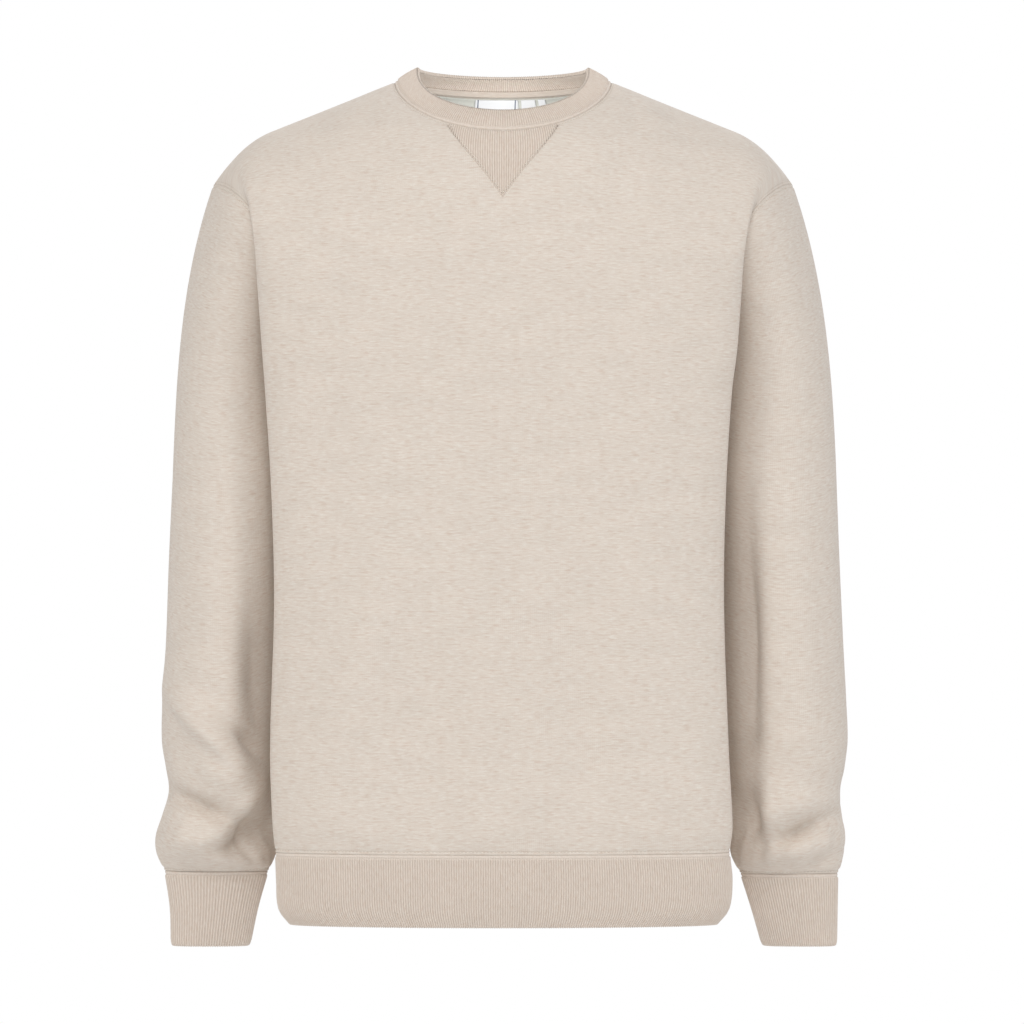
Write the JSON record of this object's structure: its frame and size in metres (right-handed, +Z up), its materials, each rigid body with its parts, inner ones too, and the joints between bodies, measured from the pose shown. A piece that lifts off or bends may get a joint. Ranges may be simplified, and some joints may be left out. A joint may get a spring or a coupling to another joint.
{
  "type": "crewneck sweatshirt",
  "caption": "Hollow crewneck sweatshirt in heather fleece, held in its worn shape, with ribbed collar, V insert, cuffs and hem band.",
  "frame": {"origin": "middle of the neck opening at the height of the high shoulder points, where the wearer carries the garment", "axes": "+Z up along the body, front faces -Y, +X towards the wearer's left sleeve"},
  "size_m": [0.5805, 0.2301, 0.7379],
  "materials": {
    "fleece": "matt",
    "rib": "matt",
    "tape": "matt",
    "label": "satin"
  },
  "bodies": {
    "root": {"front_panel": "fleece", "back_panel": "fleece", "sleeve_left": "fleece", "sleeve_right": "fleece", "collar_rib": "rib", "v_insert": "rib", "cuff_left": "rib", "cuff_right": "rib", "hem_rib": "rib", "neck_tape": "tape", "neck_label": "label", "size_label": "label", "care_tab": "label"}
  },
  "joints": []
}
